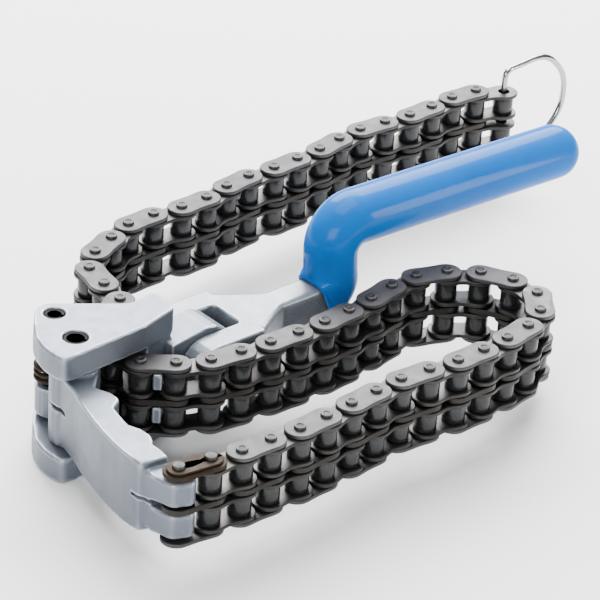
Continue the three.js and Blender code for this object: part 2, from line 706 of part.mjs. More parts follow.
function forkAndBar() {
  const axis = new THREE.Vector2(FLEX_X, FLEX_Z);
  const side = [
    new THREE.Vector2(FORK_END, FLEX_Z - FLEX_R),
    new THREE.Vector2(FORK_END, FLEX_Z + FLEX_R),
    ...arc(axis, FLEX_R, Math.PI / 2, (3 * Math.PI) / 2, ROUND_STEPS / 2),
  ];
  const block = sideSlab(side, FORK_Y - FORK_HALF, FORK_Y + FORK_HALF);
  const slotHalf = TONGUE_HALF + FIT_GAP;
  const slotStart = FLEX_X - FLEX_R - FLEX_R;
  const slot = slab(rounded([
    [new THREE.Vector2(slotStart, TONGUE_Y - slotHalf), 0],
    [new THREE.Vector2(CROTCH_X, TONGUE_Y - slotHalf), CORNER_R],
    [new THREE.Vector2(CROTCH_X, TONGUE_Y + slotHalf), CORNER_R],
    [new THREE.Vector2(slotStart, TONGUE_Y + slotHalf), 0],
  ]), -HEAD_HALF, HEAD_HALF);
  const rings = [];
  for (let i = 0; i <= BEND_STEPS; i += 1) {
    const share = i / BEND_STEPS;
    const ease = 1 - (1 - share) ** SHOULDER_POWER;
    const along = FORK_END - FIT_GAP + SHOULDER_LENGTH * share;
    const place = new THREE.Vector2(along, THREE.MathUtils.lerp(FLEX_Z, CRANK_LOW.y, ease));
    const outline = superEllipse(
      THREE.MathUtils.lerp(FORK_HALF, NECK_WIDTH / 2, ease),
      THREE.MathUtils.lerp(FLEX_R, NECK_HEIGHT / 2, ease),
      THREE.MathUtils.lerp(FORK_POWER, NECK_POWER, share),
      BAR_SIDES,
    );
    rings.push(sectionAt(place, 0, THREE.MathUtils.lerp(FORK_Y, NECK_Y, ease), outline));
  }
  barStations(0).forEach(({ at, slope, round }) => {
    rings.push(sectionAt(at, slope, NECK_Y, barOutline(round, 0)));
  });
  const bar = solid(skin(rings));
  const pinHole = flexPinSolid(FLEX_PIN_D / 2 + PIN_GAP, -HEAD_REACH, HEAD_REACH);
  return geometryOf(joined([block, bar]).subtract(slot).subtract(pinHole));
}

function gripSleeve() {
  const radius = GRIP_D / 2;
  const stations = barStations(GRIP_START_SHARE);
  const rings = stations.map(({ at, slope, round }) => sectionAt(at, slope, NECK_Y, gripOutline(round)));
  const end = stations[stations.length - 1];
  for (let i = 0; i < DOME_STEPS; i += 1) {
    const angle = (Math.PI / 2) * (i / DOME_STEPS);
    const reach = GRIP_OVERHANG - radius + radius * Math.sin(angle);
    const at = onBearing(end.at, end.slope, reach);
    const size = radius * Math.cos(angle);
    rings.push(sectionAt(at, end.slope, NECK_Y, superEllipse(size, size, 2, BAR_SIDES)));
  }
  const bore = barStations(0).map(({ at, slope, round }) => {
    return sectionAt(at, slope, NECK_Y, barOutline(round, FIT_GAP));
  });
  bore.push(sectionAt(onBearing(end.at, end.slope, FIT_GAP), end.slope, NECK_Y, barOutline(1, FIT_GAP)));
  return geometryOf(solid(skin(rings)).subtract(solid(skin(bore))));
}

function flexPin() {
  return geometryOf(flexPinSolid(FLEX_PIN_D / 2, FORK_Y - FORK_HALF + FIT_GAP, FORK_Y + FORK_HALF - FIT_GAP));
}

// Pull ring: a D of bright wire whose straight side passes through the end bush
function pullRing() {
  const corner = (x, rise) => new THREE.Vector2(x, THREE.MathUtils.lerp(RING_BOTTOM, RING_TOP, rise));
  const endBend = RING_WIRE * RING_END_BEND_SHARE;
  const corners = [
    [corner(0, 0), endBend],
    ...RING_BOW_SHARES.map(([out, rise]) => [corner(RING_REACH * out, rise), RING_REACH / 2]),
    [corner(0, 1), endBend],
  ];
  const path = rounded(corners, 4);
  const sides = 6;
  const rings = path.map((at, i) => {
    const before = path[(i + path.length - 1) % path.length];
    const after = path[(i + 1) % path.length];
    const slope = after.clone().sub(before).angle();
    return sectionAt(at, slope, 0, superEllipse(RING_WIRE / 2, RING_WIRE / 2, 2, sides));
  });
  return skin(rings, true);
}

// Spring clip in the grooves of the connecting link's pins: a flat loop with its open end to the chain
function springClip() {
  const half = OUTER_PLATE_WIDTH * CLIP_HALF_SHARE;
  const clear = LINK_PIN_D / 2 + PIN_GAP;
  const reach = PITCH + half;
  const outline = [
    ...arc(FAR_PIN, half, -Math.PI / 2, Math.PI / 2, 6),
    new THREE.Vector2(PITCH - reach, half),
    new THREE.Vector2(PITCH - reach, clear),
    new THREE.Vector2(PITCH, clear),
    ...arc(FAR_PIN, clear, Math.PI / 2, -Math.PI / 2, 6).slice(1, -1),
    new THREE.Vector2(PITCH, -clear),
    new THREE.Vector2(PITCH - reach, -clear),
    new THREE.Vector2(PITCH - reach, -half),
  ];
  const low = OUTER_TOP + CLIP_SEAT_GAP;
  return geometryOf(slab(outline, low, low + CLIP_THICK));
}

// Assembly
const model = new THREE.Group();
model.position.set(-FOOT_X, -FOOT_Y, HEAD_HALF);

const head = new THREE.Group();
head.add(named('head_casting', headCasting(), castSilver()));
const rollPinSteel = metal(0x9a9da1, 0.35, 0.9);
head.add(placed(named('jaw_pin', rollPin(JAW_PIN_D, ROLL_PIN_TURN), rollPinSteel.clone()), JAW_PIN, 0));
const keeperPin = named('keeper_pin', rollPin(KEEPER_PIN_D, ROLL_PIN_TURN), rollPinSteel.clone());
head.add(placed(keeperPin, KEEPER_PIN_AT, 0));
head.add(placed(named('keeper', keeperCasting(), castSilver()), KEEPER_PIN_AT, 0));
const spring = placed(named('torsion_spring', torsionSpring(), oiledSteel()), KEEPER_PIN_AT, -Math.PI / 2);
const springRoof = THROAT_HALF - KEEPER_TOP_GAP - KEEPER_TOP_HEIGHT;
spring.position.z = springRoof - springRoom() + FIT_GAP + SPRING_WIRE / 2;
head.add(spring);
head.add(placed(named('jaw', jawCasting(), castSilver()), JAW_PIN, JAW_LEAN));
model.add(head);

const handle = new THREE.Group();
handle.add(named('handle_bar', forkAndBar(), castSilver()));
handle.add(named('flex_pin', flexPin(), rollPinSteel.clone()));
handle.add(named('grip', gripSleeve(), metal(0x0e86d4, 0.25, 0)));
model.add(handle);

const chain = new THREE.Group();
let linkCount = 0;

function addPair(joint, outerEnd, innerEnd, openPivot, topProud) {
  linkCount += 1;
  const turn = bearingOf(joint, outerEnd);
  const innerBearing = bearingOf(joint, innerEnd) - turn;
  const name = `chain_link_${String(linkCount).padStart(2, '0')}`;
  const pair = geometryOf(linkPair(innerBearing, openPivot, topProud));
  chain.add(placed(named(name, pair, chainSteel()), joint, turn));
  return turn;
}

// From the jaw round the loop: each pair hangs on its outer link
for (let i = 0; i + 2 < LOOP_PINS.length; i += 2) {
  const topProud = i === 0 ? CLIP_PIN_PROUD : RIVET_PROUD;
  const turn = addPair(LOOP_PINS[i + 1], LOOP_PINS[i], LOOP_PINS[i + 2], false, topProud);
  if (i === 0) {
    chain.add(placed(named('spring_clip', springClip(), oiledSteel()), LOOP_PINS[1], turn));
  }
}

// From the open pivot to the held link: each pair hangs on its inner link
for (let i = RETURN_PINS.length - 3; i >= 0; i -= 2) {
  addPair(RETURN_PINS[i + 1], RETURN_PINS[i + 2], RETURN_PINS[i], i + 3 === RETURN_PINS.length);
}

// The link held on the teeth
linkCount += 1;
const heldTurn = bearingOf(HELD_LINK_AT, HELD_NEXT);
const heldLink = geometryOf(joined([...outerLink(), pinShaft(JOINT), pinShaft(FAR_PIN)]));
chain.add(placed(named(`chain_link_${linkCount}`, heldLink, chainSteel()), HELD_LINK_AT, heldTurn));

// Through the throat and out to the pull ring
for (let i = 1; i + 4 < BACK_PINS.length; i += 2) {
  addPair(BACK_PINS[i + 1], BACK_PINS[i + 2], BACK_PINS[i], false);
}
const [endFrom, endJoint, endOuter, endBush] = BACK_PINS.slice(-4);
linkCount += 1;
const endTurn = bearingOf(endJoint, endOuter);
const endSolid = endLink(bearingOf(endJoint, endFrom) - endTurn, bearingOf(endOuter, endBush) - endTurn);
chain.add(placed(named(`chain_link_${linkCount}`, geometryOf(endSolid), chainSteel()), endJoint, endTurn));
chain.add(placed(named('pull_ring', pullRing(), metal(0xc9cdd1, 0.2, 1)), endBush, 0));
model.add(chain);

export default model;
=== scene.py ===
import math

import bmesh
import bpy
from mathutils import Matrix, Vector


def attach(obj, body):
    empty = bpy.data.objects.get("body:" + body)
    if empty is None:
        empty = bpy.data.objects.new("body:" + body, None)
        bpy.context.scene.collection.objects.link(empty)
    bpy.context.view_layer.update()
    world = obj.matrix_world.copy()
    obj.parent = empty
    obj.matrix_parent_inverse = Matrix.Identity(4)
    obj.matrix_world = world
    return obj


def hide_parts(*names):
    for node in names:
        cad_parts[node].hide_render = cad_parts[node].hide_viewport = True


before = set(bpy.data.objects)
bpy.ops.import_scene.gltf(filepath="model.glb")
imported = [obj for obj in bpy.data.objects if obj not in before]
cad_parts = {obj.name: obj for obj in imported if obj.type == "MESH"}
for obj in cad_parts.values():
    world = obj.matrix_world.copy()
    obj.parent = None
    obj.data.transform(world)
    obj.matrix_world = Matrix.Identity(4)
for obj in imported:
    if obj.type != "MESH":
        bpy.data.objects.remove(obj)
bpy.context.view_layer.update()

MM = 0.001

# Place of the foot in the model frame, which starts in the middle of the jaw pin, in millimetres
FOOT_X = 20
FOOT_Y = 2
HEAD_HALF = 26

# Chain sizes
PITCH = 12.7
ROLLER_D = 8.5
LINK_PIN_D = 4.4
BUSH_D = 6.1
STRAND_MID = 6.96
ROLLER_LENGTH = 7.75
ROLLER_PLAY = 0.14
PLATE_THICK = 1.5
CENTRE_PLATE_THICK = 2.3
OUTER_PLATE_WIDTH = 11.2
INNER_PLATE_WIDTH = 11.6
OUTER_WAIST_SHARE = 0.95
INNER_WAIST_SHARE = 0.8
FIT_GAP = 0.3
RIVET_PROUD = 1.2
CLIP_PIN_PROUD = 2.4
CLIP_THICK = 0.9
CLIP_SEAT_GAP = 0.15
PLATE_EDGE = 0.22
ROLLER_RIM = 0.35
BUSH_LAP = 0.05
BORE_STEPS = 20
PIN_SIDES = 24
ROLLER_SIDES = 36

INNER_LOW = STRAND_MID - ROLLER_LENGTH / 2 - PLATE_THICK
ROLLER_LOW = STRAND_MID - ROLLER_LENGTH / 2
ROLLER_TOP = STRAND_MID + ROLLER_LENGTH / 2
INNER_TOP = ROLLER_TOP + PLATE_THICK
OUTER_LOW = INNER_TOP + FIT_GAP
OUTER_TOP = OUTER_LOW + PLATE_THICK

# Rivet end: a chamfer as (inset, drop) pairs, then a dimple or a flat as (radius, drop) pairs
RIVET_CHAMFER = [(0, 0.5), (0.16, 0.14), (0.46, 0)]
RIVET_DIMPLE = [(1.25, 0), (1.05, 0.16), (0.35, 0.22)]
RIVET_FLAT = [(0.35, 0)]

# Spring clip: turns in degrees, and its pinched sides as (along, across) pairs
CLIP_HALF = 4.35
CLIP_EDGE = 0.18
CLIP_HOLD_GAP = 0.06
CLIP_HOLD_TURN = 38
CLIP_SPLIT_TURN = 12
CLIP_FLARE_SHARE = 1.6
CLIP_PINCH = [(3.6, 0.75), (5.4, 1.25), (8.6, 1.7)]

# Chain route: the jaw's lean and the headings of the links in degrees
OPENED_LINK = 11
HELD_LINK = 15
LAST_LINK = 27
JAW_LENGTH = 75.5
JAW_LEAN = -9.4
LOOP_HEADINGS = [-8, -6, -1, -3, 3, 5, 5, 4, -5, -7, 0, 4, 9, 25, 51, 91, 119, 141, 160, 182]
RETURN_HEADINGS = [-27, -9, -7, -4, -1, 3, 7, 10]
BACK_HEADINGS = [
    140, 106, 71, 42, 31, 80, 78, 43, 24, 22, 3, -7, 2, 13, 8, -2, 3, 5, 11, 7, -4, -5, 3, 6, -4, -22,
]
HELD_LINK_AT = Vector((30.5, -19.2))

# Pins, spring and ring
KEEPER_PIN_AT = Vector((3.9, 17.7))
KEEPER_PIN_D = 7.6
JAW_PIN_D = 9
ROLL_PIN_WALL = 1.5
ROLL_PIN_SLOT = 1.2
ROLL_PIN_RECESS = 0.6
ROLL_PIN_EDGE = 0.3
ROLL_PIN_TURN = -60
THROAT_HALF = 16
KEEPER_TOP_GAP = 0.4
KEEPER_TOP_HEIGHT = 8.7
SPRING_WIRE = 1.9
SPRING_OD = 14.6
SPRING_CURLS = 3
SPRING_CURL_GAP = 0.5
RING_WIRE = 2.6
RING_TOP = 21.6
RING_BOTTOM = -17.4
RING_REACH = 36
RING_END_BEND_SHARE = 1.5
RING_BOW_SHARES = [(0.62, -0.06), (1, 0.32), (1, 0.72), (0.66, 1.05)]
RING_CORNER_SHARE = 0.48

# Handle
FLEX_X = 51.5
FLEX_Z = 2.5
FLEX_PIN_D = 8
FLEX_PIN_EDGE = 0.5
FORK_HALF = 17.4
FORK_Y = -0.5
FORK_END = 73
NECK_Y = -2
NECK_WIDTH = 12.8
NECK_HEIGHT = 16.4
CRANK_LOW = Vector((118, 4.6))
CRANK_HIGH = Vector((116.2, 35.7))
BAR_END = Vector((228.2, 32))
CRANK_R = 10.8
GRIP_D = 22
GRIP_RISE = 10.62
GRIP_WALL = 1.7
GRIP_START_SHARE = 0.24
GRIP_START_POWER = 5
GRIP_OVERHANG = 13
GRIP_EASE = 0.6

# Mouth and lip bead of the grip: how far ahead of its start, and how much fuller than its section
GRIP_MOUTH = [(1.8, 0.35), (0.3, 0.4), (0.02, 0.75)]
GRIP_LIP = [
    (0.0, -0.35), (0.22, -0.02), (0.6, 0.16), (1.05, 0.2), (1.5, 0.06),
    (1.85, -0.16), (2.3, -0.2), (2.9, -0.06), (3.5, 0),
]
GRIP_LIP_END = 4.2

# Softening of the castings: voxels in metres, and the places in the part's plan where edges melt
CASTING_VOXEL = 0.00045
KEEPER_VOXEL = 0.0004
FORGING_VOXEL = 0.0005
SMOOTH_FACTOR = 0.5
CUT_SHARP_ANGLE = 50
MELT_REACH = 5
MELT_ROUNDS = 60
HEAD_MELTED = [(-32.4, -11.8), (-33.8, -5.8), (-33.2, 1), (-29.4, 10.4)]
JAW_MELTED = [(-40.4, -65.7), (-38.1, -75.5), (-36.9, -79.6), (-34.2, -80.8), (-30.1, -82.3)]

# Run-out of the jaw's slit: its half width, and its outline from the tab's root
RUNOUT_HALF = 0.8
RUNOUT_OUTLINE = [(-16, -3), (1, -3), (1, 0), (-4, 5), (-9.5, 8.4), (-16, 9)]


# Materials: the mix node's sockets are the factor, the two colours and the result
NOISE_ROUGHNESS = 0.55
MIX_INPUTS = (0, 6, 7)
MIX_OUTPUT = 2


class Surface:
    """A material with its shader and a few node helpers."""

    def __init__(self, name, color, roughness, metallic):
        self.material = bpy.data.materials.new(name)
        self.material.use_nodes = True
        self.tree = self.material.node_tree
        self.shader = self.tree.nodes["Principled BSDF"]
        self.shader.inputs["Base Color"].default_value = (*color, 1)
        self.shader.inputs["Roughness"].default_value = roughness
        self.shader.inputs["Metallic"].default_value = metallic
        self.place = self.node("ShaderNodeTexCoord").outputs["Object"]

    def node(self, kind, **values):
        made = self.tree.nodes.new(kind)
        for key, value in values.items():
            setattr(made, key, value)
        return made

    def link(self, source, target):
        self.tree.links.new(source, target)

    def noise(self, scale, detail=3, stretch=None):
        made = self.node("ShaderNodeTexNoise")
        made.inputs["Scale"].default_value = scale
        made.inputs["Detail"].default_value = detail
        made.inputs["Roughness"].default_value = NOISE_ROUGHNESS
        place = self.place
        if stretch:
            mapping = self.node("ShaderNodeMapping")
            mapping.inputs["Scale"].default_value = stretch
            self.link(place, mapping.inputs["Vector"])
            place = mapping.outputs["Vector"]
        self.link(place, made.inputs["Vector"])
        return made.outputs["Fac"]

    def ramp(self, source, stops):
        made = self.node("ShaderNodeValToRGB")
        ramp = made.color_ramp
        while len(ramp.elements) < len(stops):
            ramp.elements.new(0.5)
        for element, (at, value) in zip(ramp.elements, stops):
            element.position = at
            color = value if isinstance(value, tuple) else (value, value, value)
            element.color = (*color, 1)
        self.link(source, made.inputs["Fac"])
        return made.outputs["Color"]

    def mix(self, factor, low, high):
        made = self.node("ShaderNodeMix", data_type="RGBA", blend_type="MIX")
        for index, value in zip(MIX_INPUTS, (factor, low, high)):
            socket = made.inputs[index]
            if hasattr(value, "is_linked"):
                self.link(value, socket)
            elif isinstance(value, tuple):
                socket.default_value = (*value, 1)
            else:
                socket.default_value = value
        return made.outputs[MIX_OUTPUT]

    def edges(self, low, high):
        geometry = self.node("ShaderNodeNewGeometry")
        return self.ramp(geometry.outputs["Pointiness"], [(low, 0.0), (high, 1.0)])

    def bump(self, *layers):
        normal = None
        for source, strength, distance in layers:
            made = self.node("ShaderNodeBump")
            made.inputs["Strength"].default_value = strength
            made.inputs["Distance"].default_value = distance
            self.link(source, made.inputs["Height"])
            if normal:
                self.link(normal, made.inputs["Normal"])
            normal = made.outputs["Normal"]
        self.link(normal, self.shader.inputs["Normal"])


def cast_surface(name, dark, light, worn_and_edge_highlight, speckle):
    """Silver paint over a sand casting, its edges painted bright: partly rubbing wear, partly a painted
    highlight.
    """
    surface = Surface(name, light, 0.4, 0.55)
    blotch = surface.noise(60, detail=4)
    grain = surface.noise(1500, detail=2)
    body = surface.mix(surface.ramp(blotch, [(0.35, 0.0), (0.65, 1.0)]), dark, light)
    speckled = surface.mix(surface.ramp(grain, [(0.58, 0.0), (0.78, speckle)]), body, worn_and_edge_highlight)
    # Edges lightened toward the worn colour: partly rubbing wear, partly a painted highlight.
    edge = surface.edges(0.505, 0.545)
    edged = surface.mix(edge, speckled, worn_and_edge_highlight)
    surface.link(edged, surface.shader.inputs["Base Color"])
    rough = surface.ramp(surface.noise(240, detail=3), [(0.3, 0.34), (0.7, 0.46)])
    surface.link(surface.mix(edge, rough, (0.24, 0.24, 0.24)), surface.shader.inputs["Roughness"])
    surface.bump((surface.noise(420, detail=3), 0.16, 0.00025), (grain, 0.14, 0.0001))
    return surface.material


def steel_surface(name, dark, light, worn_and_edge_highlight, rough, metallic=0.9, wear=0.3, relief=1.0):
    """Steel with faint cloudiness, fine rubbing marks, and edges painted brighter: partly wear, partly a
    painted highlight.
    """
    rough_low, rough_high = rough
    surface = Surface(name, light, rough_low, metallic)
    blotch = surface.noise(120, detail=3)
    scratch = surface.noise(520, detail=4, stretch=(1, 0.2, 2.2))
    body = surface.mix(surface.ramp(blotch, [(0.3, 0.0), (0.7, 1.0)]), dark, light)
    marked = surface.mix(surface.ramp(scratch, [(0.64, 0.0), (0.8, wear)]), body, worn_and_edge_highlight)
    # Edges lightened toward the worn colour: partly wear, partly a painted highlight.
    edged = surface.mix(surface.edges(0.52, 0.6), marked, worn_and_edge_highlight)
    surface.link(edged, surface.shader.inputs["Base Color"])
    cloudy = surface.ramp(surface.noise(260, detail=2), [(0.3, rough_low), (0.7, rough_high)])
    surface.link(cloudy, surface.shader.inputs["Roughness"])
    grit = surface.noise(1300, detail=2)
    surface.bump((grit, 0.08 * relief, 0.00008), (scratch, 0.04 * relief, 0.00006))
    return surface.material


def vinyl_surface():
    """Dipped vinyl, nearly even in colour, with a thin gloss."""
    surface = Surface("sky_vinyl", (0.0, 0.11, 0.42), 0.3, 0.0)
    blotch = surface.ramp(surface.noise(45, detail=3), [(0.3, 0.0), (0.7, 1.0)])
    body = surface.mix(blotch, (0.0, 0.105, 0.4), (0.0, 0.12, 0.44))
    surface.link(body, surface.shader.inputs["Base Color"])
    rough = surface.ramp(surface.noise(160, detail=3), [(0.3, 0.28), (0.7, 0.38)])
    surface.link(rough, surface.shader.inputs["Roughness"])
    surface.shader.inputs["Specular IOR Level"].default_value = 0.03
    surface.shader.inputs["Coat Weight"].default_value = 0.12
    surface.shader.inputs["Coat Roughness"].default_value = 0.06
    ripple = surface.noise(90, detail=2)
    grit = surface.noise(700, detail=2)
    surface.bump((ripple, 0.08, 0.0005), (grit, 0.03, 0.0001))
    return surface.material


# Each worn colour below is the colour of rubbing marks or grain, and is also painted on the edges as a
# highlight.
CAST = cast_surface(
    "cast_silver",
    dark=(0.104, 0.12, 0.146), light=(0.132, 0.15, 0.18), worn_and_edge_highlight=(0.44, 0.48, 0.53),
    speckle=0.12,
)
FORGED = cast_surface(
    "forged_silver",
    dark=(0.135, 0.152, 0.178), light=(0.19, 0.212, 0.245), worn_and_edge_highlight=(0.42, 0.45, 0.49),
    speckle=0.5,
)
PLATE = steel_surface(
    "plate_steel",
    dark=(0.024, 0.0235, 0.025), light=(0.038, 0.0373, 0.0395), worn_and_edge_highlight=(0.1, 0.098, 0.1),
    rough=(0.5, 0.6),
)
INNER_PLATE = steel_surface(
    "inner_plate_steel",
    dark=(0.009, 0.0088, 0.0086), light=(0.016, 0.0156, 0.0152), worn_and_edge_highlight=(0.06, 0.058, 0.056),
    rough=(0.4, 0.5),
)
ROLLER = steel_surface(
    "roller_steel",
    dark=(0.011, 0.012, 0.013), light=(0.016, 0.017, 0.019), worn_and_edge_highlight=(0.04, 0.04, 0.04),
    rough=(0.22, 0.27), metallic=0.5, wear=0.0, relief=0.3,
)
RIVET = steel_surface(
    "rivet_steel",
    dark=(0.02, 0.02, 0.021), light=(0.034, 0.0335, 0.0345), worn_and_edge_highlight=(0.1, 0.098, 0.098),
    rough=(0.44, 0.54),
)
OILED = steel_surface(
    "oiled_steel",
    dark=(0.008, 0.0052, 0.0032), light=(0.015, 0.0102, 0.0065), worn_and_edge_highlight=(0.05, 0.036, 0.025),
    rough=(0.62, 0.72),
)
CENTRE = steel_surface(
    "centre_plate_steel",
    dark=(0.0055, 0.0051, 0.0047), light=(0.01, 0.0093, 0.0086), worn_and_edge_highlight=(0.045, 0.042, 0.038),
    rough=(0.36, 0.48),
)
PIN = steel_surface(
    "pin_steel",
    dark=(0.0008, 0.0008, 0.0009), light=(0.0016, 0.0016, 0.0018), worn_and_edge_highlight=(0.004, 0.004, 0.0042),
    rough=(0.6, 0.7), metallic=1.0,
)
WIRE = steel_surface(
    "bright_wire",
    dark=(0.3, 0.305, 0.31), light=(0.38, 0.385, 0.39), worn_and_edge_highlight=(0.5, 0.5, 0.5),
    rough=(0.1, 0.2), metallic=1.0,
)
VINYL = vinyl_surface()

# Every link piece carries the same list of materials
LINK_MATERIALS = [PLATE, INNER_PLATE, ROLLER, RIVET, CENTRE, OILED]
PLATE_I, INNER_I, ROLLER_I, RIVET_I, CENTRE_I, OILED_I = range(len(LINK_MATERIALS))


# Mesh helpers: everything is drawn in millimetres in the model frame
def placed(point):
    """A point of the model frame in the part frame, in metres."""
    return Vector(((point[0] - FOOT_X) * MM, (point[1] - FOOT_Y) * MM, (point[2] + HEAD_HALF) * MM))


def on_bearing(start, bearing, distance):
    return Vector((start[0] + distance * math.cos(bearing), start[1] + distance * math.sin(bearing)))


def arc(centre, radius, start, end, steps):
    return [on_bearing(centre, start + (end - start) * i / steps, radius) for i in range(steps + 1)]


def skin(bm, rings, material, loop=False, smooth=True):
    """Faces between rings of points, capped at both ends or closed on itself."""
    made = [[bm.verts.new(placed(p)) for p in ring] for ring in rings]
    count = len(rings[0])
    runs = len(made) if loop else len(made) - 1
    for r in range(runs):
        low = made[r]
        high = made[(r + 1) % len(made)]
        for s in range(count):
            n = (s + 1) % count
            face = bm.faces.new((low[s], low[n], high[n], high[s]))
            face.material_index = material
            face.smooth = smooth
    if not loop:
        for ring in (list(reversed(made[0])), made[-1]):
            face = bm.faces.new(ring)
            face.material_index = material
            face.smooth = smooth


def lathe(bm, centre, profile, material, sides, closed=False):
    """A profile of (radius, height) turned about a vertical axis; a closed profile leaves a bore."""
    rings = []
    for radius, height in profile:
        angles = [2 * math.pi * i / sides for i in range(sides)]
        rings.append([(*on_bearing(centre, a, radius), height) for a in angles])
    skin(bm, rings, material, loop=closed)


# Parts of a chain link
def plate_outline(a, b, radius, waist, end_steps=14, side_steps=8):
    """A round end at each pin and a waist between them."""
    along = b - a
    bearing = math.atan2(along.y, along.x)
    length = along.length

    def side(start, sign, heading):
        points = []
        for i in range(1, side_steps):
            share = i / side_steps
            half = radius - (radius - waist) * (1 - math.cos(2 * math.pi * share)) / 2
            middle = on_bearing(start, heading, length * share)
            points.append(on_bearing(middle, bearing + sign * math.pi / 2, half))
        return points

    return [
        *arc(b, radius, bearing - math.pi / 2, bearing + math.pi / 2, end_steps),
        *side(b, 1, bearing + math.pi),
        *arc(a, radius, bearing + math.pi / 2, bearing + 3 * math.pi / 2, end_steps),
        *side(a, -1, bearing),
    ]


def plate(bm, a, b, width, waist_share, low, high, material, bores=()):
    """A link plate with softened edges, with a round bore at each of the given pins."""
    radius = width / 2
    waist = radius * waist_share
    levels = [(PLATE_EDGE, low), (0, low + PLATE_EDGE), (0, high - PLATE_EDGE), (PLATE_EDGE, high)]
    rings = []
    for inset, level in levels:
        outline = plate_outline(a, b, radius - inset, waist - inset)
        rings.append([bm.verts.new(placed((*p, level))) for p in outline])
    count = len(rings[0])
    for lower, upper in zip(rings, rings[1:]):
        for s in range(count):
            n = (s + 1) % count
            face = bm.faces.new((lower[s], lower[n], upper[n], upper[s]))
            face.material_index = material
            face.smooth = True
    holes = []
    for pin, bore in bores:
        circle = arc(pin, bore, 2 * math.pi, 0, BORE_STEPS)[:-1]
        pair = [[bm.verts.new(placed((*p, level))) for p in circle] for level in (low, high)]
        for s in range(len(circle)):
            n = (s + 1) % len(circle)
            face = bm.faces.new((pair[0][s], pair[0][n], pair[1][n], pair[1][s]))
            face.material_index = material
            face.smooth = True
        holes.append(pair)
    for end, ring, turn in ((0, rings[0], -1), (1, rings[-1], 1)):
        if not holes:
            face = bm.faces.new(ring if turn > 0 else list(reversed(ring)))
            face.material_index = material
            face.smooth = True
            continue
        loops = [ring] + [pair[end] for pair in holes]
        edges = [bm.edges.get(ends) for loop in loops for ends in zip(loop, loop[1:] + loop[:1])]
        filled = bmesh.ops.triangle_fill(bm, edges=edges, use_beauty=True, normal=(0, 0, turn))
        for item in filled["geom"]:
            if isinstance(item, bmesh.types.BMFace):
                item.material_index = material
                item.smooth = True
                if item.normal.z * turn < 0:
                    item.normal_flip()


def rivet(bm, pin, proud, side, dimple=True):
    """A riveted pin end standing proud of its outer plate."""
    radius = LINK_PIN_D / 2
    top = OUTER_TOP + proud
    profile = [(radius, OUTER_TOP - PLATE_THICK / 2)]
    profile += [(radius - inset, top - drop) for inset, drop in RIVET_CHAMFER]
    profile += [(r, top - drop) for r, drop in (RIVET_DIMPLE if dimple else RIVET_FLAT)]
    if side < 0:
        profile = [(r, -z) for r, z in reversed(profile)]
    lathe(bm, pin, profile, RIVET_I, PIN_SIDES)


def between(side, near, far):
    """The two levels of one strand, low first; the strands mirror each other."""
    return (near, far) if side > 0 else (-far, -near)


def inner_link(bm, a, b):
    """Two strands of plates and rollers from one pin to the next, bored for the pins."""
    bore = LINK_PIN_D / 2 + FIT_GAP
    bush = BUSH_D / 2
    outer = ROLLER_D / 2
    rim = ROLLER_RIM
    bores = [(a, bore), (b, bore)]
    for side in (1, -1):
        for near, far in ((INNER_LOW, ROLLER_LOW), (ROLLER_TOP, INNER_TOP)):
            low, high = between(side, near, far)
            plate(bm, a, b, INNER_PLATE_WIDTH, INNER_WAIST_SHARE, low, high, INNER_I, bores)
        low, high = between(side, ROLLER_LOW, ROLLER_TOP)
        low_roller = low + ROLLER_PLAY
        high_roller = high - ROLLER_PLAY
        bush_profile = [
            (bore, low - BUSH_LAP), (bush, low - BUSH_LAP),
            (bush, high + BUSH_LAP), (bore, high + BUSH_LAP),
        ]
        roller_profile = [
            (bush + BUSH_LAP, low_roller), (outer - rim, low_roller),
            (outer - rim / 3, low_roller + rim / 3), (outer, low_roller + rim),
            (outer, high_roller - rim), (outer - rim / 3, high_roller - rim / 3),
            (outer - rim, high_roller), (bush + BUSH_LAP, high_roller),
        ]
        for pin in (a, b):
            lathe(bm, pin, bush_profile, INNER_I, PIN_SIDES, closed=True)
            lathe(bm, pin, roller_profile, ROLLER_I, ROLLER_SIDES, closed=True)


def outer_link(bm, a, b, shafts, clip=False):
    """Cover plates, centre plate, pins and rivet ends; a clip's pins stand further out."""
    top = OILED_I if clip else PLATE_I
    proud = CLIP_PIN_PROUD if clip else RIVET_PROUD
    plate(bm, a, b, OUTER_PLATE_WIDTH, OUTER_WAIST_SHARE, OUTER_LOW, OUTER_TOP, top)
    plate(bm, a, b, OUTER_PLATE_WIDTH, OUTER_WAIST_SHARE, -OUTER_TOP, -OUTER_LOW, PLATE_I)
    half = CENTRE_PLATE_THICK / 2
    plate(bm, a, b, OUTER_PLATE_WIDTH, OUTER_WAIST_SHARE, -half, half, CENTRE_I)
    for pin in (a, b):
        rivet(bm, pin, proud, 1, dimple=not clip)
        rivet(bm, pin, RIVET_PROUD, -1)
    radius = LINK_PIN_D / 2
    for pin in shafts:
        for side in (1, -1):
            low, high = between(side, half, OUTER_LOW)
            lathe(bm, pin, [(radius, low), (radius, high)], RIVET_I, PIN_SIDES)


def piece(name, bm, materials, body, nodes, sharp=38):
    """A piece of the scene on its body, in place of the named nodes."""
    mesh = bpy.data.meshes.new(name)
    bmesh.ops.recalc_face_normals(bm, faces=bm.faces)
    bm.to_mesh(mesh)
    bm.free()
    for material in materials:
        mesh.materials.append(material)
    mesh.set_sharp_from_angle(angle=math.radians(sharp))
    made = bpy.data.objects.new(name, mesh)
    bpy.context.scene.collection.objects.link(made)
    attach(made, body)
    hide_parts(*nodes)


# Chain route
def walk(start, headings):
    """Pins one pitch apart along the headings."""
    pins = [start.copy()]
    for heading in headings:
        pins.append(on_bearing(pins[-1], math.radians(heading), PITCH))
    return pins


def turned(points, centre, angle):
    turn = Matrix.Rotation(angle, 2)
    return [centre + turn @ (p - centre) for p in points]


